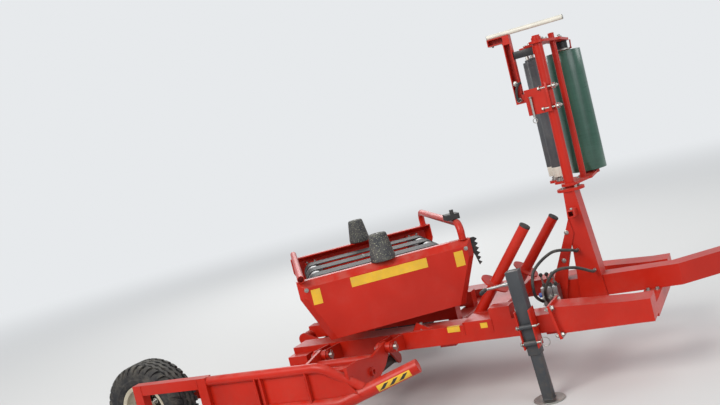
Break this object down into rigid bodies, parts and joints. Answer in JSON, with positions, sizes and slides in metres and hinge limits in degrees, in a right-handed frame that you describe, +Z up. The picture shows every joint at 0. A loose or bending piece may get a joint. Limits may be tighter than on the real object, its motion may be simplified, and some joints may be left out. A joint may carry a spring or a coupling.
{
  "type": "trailed round-bale wrapper",
  "caption": "Trailed round-bale wrapper with a turning table on a tilting frame, a side loader, a film dispenser on a mast and a screw jack.",
  "frame": {"origin": "on the ground under the middle of the whole machine's box", "axes": "+X towards the towing eye, +Y to the left, +Z up"},
  "size_m": [4.0749, 3.1825, 2.014],
  "materials": {
    "red_paint": "gloss",
    "grey_paint": "satin",
    "black_paint": "satin",
    "tyre_rubber": "matte",
    "rim_paint": "satin",
    "black_rubber": "matte",
    "steel": "satin",
    "rod_chrome": "polished",
    "cream_plastic": "matte",
    "green_film": "gloss",
    "zinc": "satin",
    "yellow_sticker": "gloss"
  },
  "bodies": {
    "chassis": {"main_frame": "red_paint", "wheel_beam": "red_paint", "front_frame": "red_paint", "drawbar": "red_paint", "stub_axles": "grey_paint", "loader_brackets": "red_paint", "jack_sleeve": "grey_paint", "jack_crank": "black_paint", "mast_base": "red_paint", "mast_pole": "red_paint", "dispenser_frame": "red_paint", "mast_clamp": "red_paint", "guide_arm": "red_paint", "guide_tube": "cream_plastic", "roll_posts": "red_paint", "valve_block": "steel", "hydraulic_hoses": "black_rubber"},
    "jack_leg": {"jack_leg": "grey_paint"},
    "wheel_right": {"tyre_right": "tyre_rubber", "rim_right": "rim_paint"},
    "wheel_left": {"tyre_left": "tyre_rubber", "rim_left": "rim_paint"},
    "tilt_frame": {"tilt_frame": "red_paint", "table_motor": "black_paint"},
    "tilt_barrel": {"tilt_barrel": "black_paint"},
    "tilt_rod": {"tilt_rod": "rod_chrome"},
    "table": {"table_base": "red_paint", "end_panel_near": "red_paint", "end_panel_far": "red_paint", "guard_tubes": "red_paint", "film_catcher": "black_rubber", "table_belts": "black_rubber"},
    "roller_front": {"roller_front": "steel"},
    "roller_rear": {"roller_rear": "steel"},
    "cone_near": {"cone_near": "black_rubber"},
    "cone_far": {"cone_far": "black_rubber"},
    "loader": {"loader_arms": "red_paint", "loader_frame": "red_paint", "inner_tine": "red_paint", "outer_tine": "red_paint"},
    "lift_barrel": {"lift_barrel": "black_paint"},
    "lift_rod": {"lift_rod": "rod_chrome"},
    "film_roll": {"film_roll": "green_film"},
    "stretch_roller_a": {"stretch_roller_a": "grey_paint"},
    "stretch_roller_b": {"stretch_roller_b": "grey_paint"}
  },
  "joints": [
    {"name": "wheel_right_spin", "type": "hinge", "parent": "chassis", "child": "wheel_right", "pos_m": [-1.7475, -0.314, 0.29], "axis": [0, 1, 0], "continuous": true},
    {"name": "wheel_left_spin", "type": "hinge", "parent": "chassis", "child": "wheel_left", "pos_m": [-0.7775, 1.486, 0.29], "axis": [0, 1, 0], "continuous": true},
    {"name": "jack_slide", "type": "slide", "parent": "chassis", "child": "jack_leg", "axis": [-0.0523, 0, 0.9986], "range_m": [0, 0.2]},
    {"name": "table_tilt", "type": "hinge", "parent": "chassis", "child": "tilt_frame", "pos_m": [-0.8975, 0.546, 0.44], "axis": [0, -1, 0], "range_deg": [0, 48]},
    {"name": "tilt_cylinder_swing", "type": "hinge", "parent": "chassis", "child": "tilt_barrel", "pos_m": [-0.6475, 0.791, 0.22], "axis": [0, -1, 0], "range_deg": [0, 49.29]},
    {"name": "tilt_cylinder_slide", "type": "slide", "parent": "tilt_barrel", "child": "tilt_rod", "axis": [0.9356, 0, 0.3531], "range_m": [0, 0.27056]},
    {"name": "table_turn", "type": "hinge", "parent": "tilt_frame", "child": "table", "pos_m": [-0.4175, 0.546, 0.54], "axis": [0, 0, 1], "continuous": true},
    {"name": "roller_front_spin", "type": "hinge", "parent": "table", "child": "roller_front", "pos_m": [-0.09524, 0.74737, 0.79], "axis": [-0.5299, 0.848, 0], "continuous": true},
    {"name": "roller_rear_spin", "type": "hinge", "parent": "table", "child": "roller_rear", "pos_m": [-0.73976, 0.34463, 0.79], "axis": [-0.5299, 0.848, 0], "continuous": true},
    {"name": "cone_near_spin", "type": "hinge", "parent": "table", "child": "cone_near", "pos_m": [-0.08418, 0.01258, 0.98], "axis": [0, 0, 1], "continuous": true},
    {"name": "cone_far_spin", "type": "hinge", "parent": "table", "child": "cone_far", "pos_m": [-0.75082, 1.07942, 0.98], "axis": [0, 0, 1], "continuous": true},
    {"name": "loader_lift", "type": "hinge", "parent": "chassis", "child": "loader", "pos_m": [-0.3375, -0.154, 0.43], "axis": [-1, 0, 0], "range_deg": [0, 55]},
    {"name": "lift_cylinder_swing", "type": "hinge", "parent": "chassis", "child": "lift_barrel", "pos_m": [-0.3525, 0.346, 0.22], "axis": [-1, 0, 0], "range_deg": [0, 7.02]},
    {"name": "lift_cylinder_slide", "type": "slide", "parent": "lift_barrel", "child": "lift_rod", "axis": [0, -0.9998, 0.02], "range_m": [0, 0.17063]},
    {"name": "film_roll_spin", "type": "hinge", "parent": "chassis", "child": "film_roll", "pos_m": [0.9725, 1.011, 1.46], "axis": [0, 0, 1], "continuous": true},
    {"name": "stretch_a_spin", "type": "hinge", "parent": "chassis", "child": "stretch_roller_a", "pos_m": [0.7825, 0.886, 1.475], "axis": [0, 0, 1], "continuous": true},
    {"name": "stretch_b_spin", "type": "hinge", "parent": "chassis", "child": "stretch_roller_b", "pos_m": [0.8405, 0.761, 1.475], "axis": [0, 0, 1], "continuous": true}
  ],
  "couplings": [
    {"joint": "tilt_cylinder_swing", "follows": "table_tilt", "ratio": 1.0268},
    {"joint": "tilt_cylinder_slide", "follows": "table_tilt", "m_per_rad": 0.32284},
    {"joint": "lift_cylinder_swing", "follows": "loader_lift", "ratio": 0.12768},
    {"joint": "lift_cylinder_slide", "follows": "loader_lift", "m_per_rad": 0.17765},
    {"joint": "roller_rear_spin", "follows": "roller_front_spin", "ratio": 1},
    {"joint": "stretch_b_spin", "follows": "stretch_a_spin", "ratio": -1.6}
  ]
}
